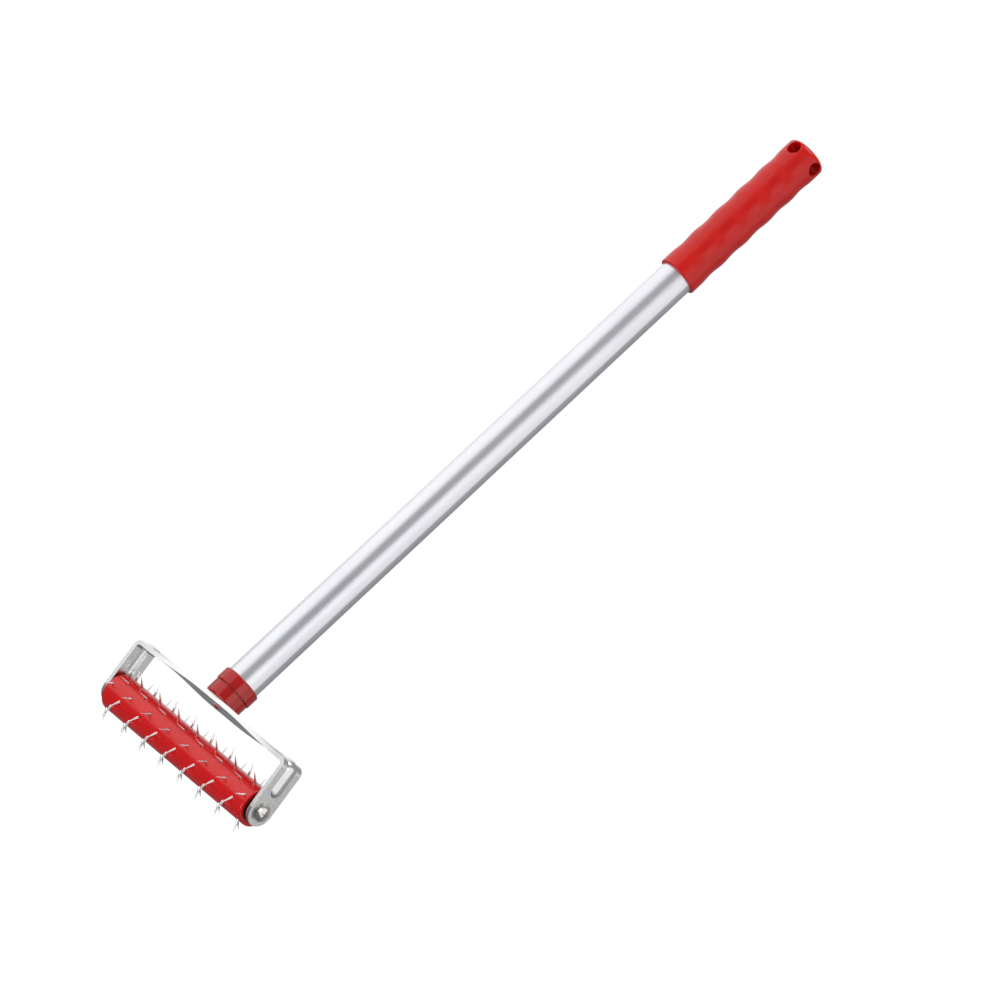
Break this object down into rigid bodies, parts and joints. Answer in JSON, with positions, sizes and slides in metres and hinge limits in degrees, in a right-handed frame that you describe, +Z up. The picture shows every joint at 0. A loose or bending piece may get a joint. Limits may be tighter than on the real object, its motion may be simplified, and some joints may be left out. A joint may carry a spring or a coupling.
{
  "type": "spiked roller",
  "caption": "Spiked roller with leaning steel needles in a bent steel yoke, on a telescopic aluminium pole with a moulded hand grip.",
  "frame": {"origin": "where the two crossed hang holes meet inside the closed end of the hand grip, on the pole's axis", "axes": "+Z up along the pole towards the grip's closed end; +X along the roller's axis; +Y the side that the yoke's legs lean to"},
  "size_m": [0.179, 0.0445, 0.596],
  "materials": {
    "pole_aluminium": "satin anodised",
    "red_gloss_plastic": "gloss moulded",
    "red_grip_plastic": "satin moulded",
    "plated_strap": "bright zinc plated",
    "needle_steel": "polished",
    "screw_steel": "nickel plated",
    "nylon": "moulded nylon"
  },
  "bodies": {
    "pole": {"outer_tube": "pole_aluminium", "outer_collar": "red_gloss_plastic", "hand_grip": "red_grip_plastic"},
    "lock": {"lock_sleeve": "nylon"},
    "inner_pole": {"inner_tube": "pole_aluminium", "end_plug": "red_gloss_plastic", "plug_nut": "screw_steel", "expander_core": "nylon", "sleeve_retainer": "screw_steel", "retainer_screw": "screw_steel", "yoke": "plated_strap", "yoke_screw": "screw_steel", "axle": "screw_steel", "axle_washer_left": "screw_steel", "axle_washer_right": "screw_steel", "axle_screw_left": "screw_steel", "axle_screw_right": "screw_steel", "spacer_left": "nylon", "spacer_right": "nylon"},
    "roller": {"roller_body": "red_gloss_plastic", "bush_left": "red_gloss_plastic", "bush_right": "red_gloss_plastic", "needle_row_01": "needle_steel", "needle_row_02": "needle_steel", "needle_row_03": "needle_steel", "needle_row_04": "needle_steel", "needle_row_05": "needle_steel", "needle_row_06": "needle_steel", "needle_row_07": "needle_steel", "needle_row_08": "needle_steel", "needle_row_09": "needle_steel", "needle_row_10": "needle_steel", "needle_row_11": "needle_steel", "needle_row_12": "needle_steel"}
  },
  "joints": [
    {"name": "telescope", "type": "slide", "parent": "pole", "child": "lock", "axis": [0, 0, -1], "range_m": [0, 0.3]},
    {"name": "twist_lock", "type": "hinge", "parent": "lock", "child": "inner_pole", "pos_m": [0, 0, -0.1365], "axis": [0, 0, 1], "range_deg": [-150, 0]},
    {"name": "roller_spin", "type": "hinge", "parent": "inner_pole", "child": "roller", "pos_m": [0, 0.00958, -0.56874], "axis": [1, 0, 0], "continuous": true}
  ]
}
